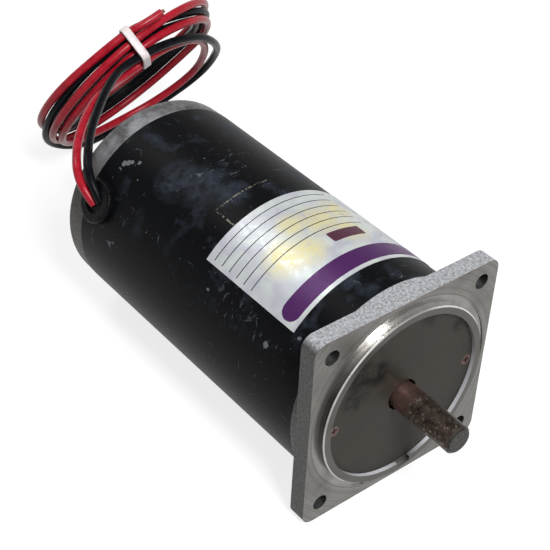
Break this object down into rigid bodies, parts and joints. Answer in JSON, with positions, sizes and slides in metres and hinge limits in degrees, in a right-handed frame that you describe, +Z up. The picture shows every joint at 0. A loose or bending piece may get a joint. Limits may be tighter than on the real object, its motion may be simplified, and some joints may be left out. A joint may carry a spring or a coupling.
{
  "type": "dc motor",
  "caption": "Brushed permanent-magnet DC motor in a black tube, with a square cast mounting flange, a plain round output shaft and two tied flying leads.",
  "frame": {"origin": "centre of the flange's mounting face, on the shaft axis", "axes": "+X out along the output shaft, +Z up from the surface that the motor lies on, flange edges along Y and Z, lead grommet on the -Y side"},
  "size_m": [0.3168, 0.1424, 0.0995],
  "materials": {
    "cast_aluminium": "cast and turned, satin",
    "black_enamel": "glossy, scuffed",
    "grey_plate": "matte, smudged",
    "zinc_fasteners": "dull, lightly rusted",
    "shaft_steel": "ground, tarnished",
    "bearing_steel": "ground",
    "spring_steel": "blued",
    "ferrite": "sintered, matte",
    "lamination_steel": "stamped and varnished",
    "winding_copper": "enamelled",
    "insulating_board": "pressed",
    "cage_polyamide": "moulded",
    "brush_brass": "stamped",
    "brush_carbon": "pressed graphite",
    "grommet_rubber": "moulded",
    "label_foil": "printed foil",
    "red_pvc": "extruded",
    "black_pvc": "extruded",
    "tie_nylon": "moulded"
  },
  "bodies": {
    "motor_frame": {"front_flange": "cast_aluminium", "rear_end_bell": "cast_aluminium", "yoke_tube": "black_enamel", "cover_plate": "grey_plate", "cover_plate_screws": "zinc_fasteners", "through_bolts": "zinc_fasteners", "through_bolt_washers": "zinc_fasteners", "brush_plate_screws": "zinc_fasteners", "front_bearing_outer_race": "bearing_steel", "rear_bearing_outer_race": "bearing_steel", "magnet_clips": "spring_steel", "wave_washer": "spring_steel", "upper_brush_spring": "spring_steel", "lower_brush_spring": "spring_steel", "upper_magnet": "ferrite", "lower_magnet": "ferrite", "lead_cores": "winding_copper", "brush_plate": "insulating_board", "brush_holders": "brush_brass", "lead_grommet": "grommet_rubber", "rating_label": "label_foil", "red_lead": "red_pvc", "red_lead_coil": "red_pvc", "red_lead_tail": "red_pvc", "black_lead": "black_pvc", "black_lead_coil": "black_pvc", "black_lead_tail": "black_pvc", "cable_tie": "tie_nylon"},
    "armature": {"motor_shaft": "shaft_steel", "shaft_circlip": "spring_steel", "front_bearing_inner_race": "bearing_steel", "rear_bearing_inner_race": "bearing_steel", "armature_core": "lamination_steel", "armature_end_boards": "insulating_board", "armature_windings": "winding_copper", "commutator_hub": "insulating_board", "commutator_bars": "winding_copper"},
    "front_ball_set": {"front_bearing_balls": "bearing_steel", "front_bearing_cage": "cage_polyamide"},
    "rear_ball_set": {"rear_bearing_balls": "bearing_steel", "rear_bearing_cage": "cage_polyamide"},
    "upper_brush_block": {"upper_brush": "brush_carbon"},
    "lower_brush_block": {"lower_brush": "brush_carbon"}
  },
  "joints": [
    {"name": "armature_spin", "type": "hinge", "parent": "motor_frame", "child": "armature", "pos_m": [0, 0, 0], "axis": [1, 0, 0], "continuous": true},
    {"name": "front_ball_set_spin", "type": "hinge", "parent": "motor_frame", "child": "front_ball_set", "pos_m": [-0.011, 0, 0], "axis": [1, 0, 0], "continuous": true},
    {"name": "rear_ball_set_spin", "type": "hinge", "parent": "motor_frame", "child": "rear_ball_set", "pos_m": [-0.157, 0, 0], "axis": [1, 0, 0], "continuous": true},
    {"name": "upper_brush_slide", "type": "slide", "parent": "motor_frame", "child": "upper_brush_block", "axis": [0, 0, 1], "range_m": [0, 0.002], "stiffness_N_per_m": 180, "springref_m": -0.012, "deforming": ["upper_brush_spring"]},
    {"name": "lower_brush_slide", "type": "slide", "parent": "motor_frame", "child": "lower_brush_block", "axis": [0, 0, -1], "range_m": [0, 0.002], "stiffness_N_per_m": 180, "springref_m": -0.012, "deforming": ["lower_brush_spring"]}
  ],
  "couplings": [
    {"joint": "front_ball_set_spin", "follows": "armature_spin", "ratio": 0.37727},
    {"joint": "rear_ball_set_spin", "follows": "armature_spin", "ratio": 0.37727}
  ]
}
